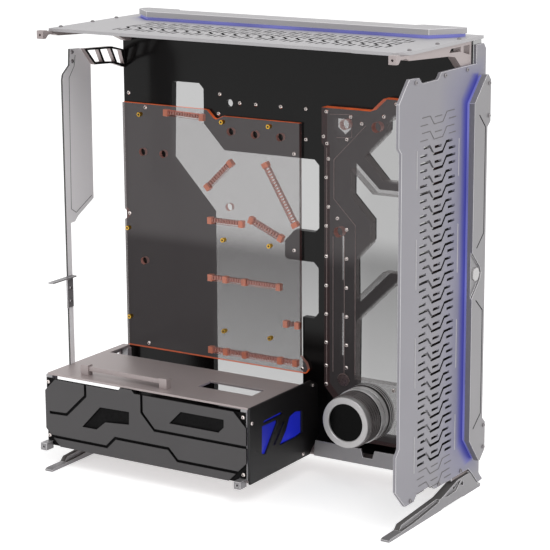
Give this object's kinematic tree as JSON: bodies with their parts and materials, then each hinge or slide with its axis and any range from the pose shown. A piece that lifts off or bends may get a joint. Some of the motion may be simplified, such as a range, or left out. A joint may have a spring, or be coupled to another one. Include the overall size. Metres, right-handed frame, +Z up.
{
  "type": "open-frame e-atx computer case",
  "caption": "Open-frame tower case: vented aluminium skins on cantilever feet, smoked acrylic board tray, water distribution plate with pump, and a power supply box.",
  "frame": {"origin": "middle of the footprint's box, on the floor", "axes": "+X from the rear to the front, +Y away from the open glass side, +Z up"},
  "size_m": [0.5484, 0.2456, 0.591],
  "materials": {
    "satin_aluminium": "bead blasted, anodised",
    "dark_aluminium": "satin dark anodised",
    "gloss_black": "gloss black",
    "tinted_glass": "tempered, light grey tint",
    "smoked_acrylic": "polished, clear grey",
    "light_guide": "translucent",
    "blue_lamp": "translucent, lit",
    "brass": "machined",
    "screw_steel": "bright",
    "pump_metal": "turned",
    "pump_black": "moulded",
    "cap_black": "gloss"
  },
  "bodies": {
    "case": {"base_plate": "dark_aluminium", "board_standoffs": "brass", "board_tray": "smoked_acrylic", "bottom_rail": "satin_aluminium", "catch_bracket": "satin_aluminium", "catch_screws": "screw_steel", "cover_bar": "dark_aluminium", "cover_bar_blocks": "dark_aluminium", "distro_plate": "smoked_acrylic", "distro_screws": "screw_steel", "front_foot": "satin_aluminium", "front_light_guide": "light_guide", "front_panel": "satin_aluminium", "front_screws": "screw_steel", "front_trim": "satin_aluminium", "glass_tabs": "satin_aluminium", "mid_plate": "gloss_black", "plate_screws": "screw_steel", "port_plug": "screw_steel", "psu_corner_posts": "satin_aluminium", "psu_cover": "dark_aluminium", "psu_light_panel": "blue_lamp", "psu_near_liner": "gloss_black", "psu_near_panel": "dark_aluminium", "psu_rear_frame": "dark_aluminium", "psu_screws": "screw_steel", "psu_side_panel": "dark_aluminium", "psu_side_screws": "screw_steel", "pump_body": "pump_black", "pump_cap": "cap_black", "pump_ring": "pump_metal", "rear_foot": "satin_aluminium", "rear_panel": "satin_aluminium", "rear_screws": "screw_steel", "rear_strap": "dark_aluminium", "right_side_panel": "tinted_glass", "roof_panel": "satin_aluminium", "roof_screws": "screw_steel", "top_hanger_front": "dark_aluminium", "top_hanger_rear": "dark_aluminium", "top_light_guide": "light_guide", "top_trim": "satin_aluminium", "tray_screws": "screw_steel", "trim_screws": "screw_steel"},
    "button": {"power_button": "pump_metal"},
    "impeller": {"pump_impeller": "pump_black"}
  },
  "joints": [
    {"name": "power_button_press", "type": "slide", "parent": "case", "child": "button", "axis": [-1, 0, 0], "range_m": [0, 0.0015], "stiffness_N_per_m": 600},
    {"name": "impeller_spin", "type": "hinge", "parent": "case", "child": "impeller", "pos_m": [0.12715, 0.0692, 0.094], "axis": [0, 1, 0], "continuous": true}
  ]
}
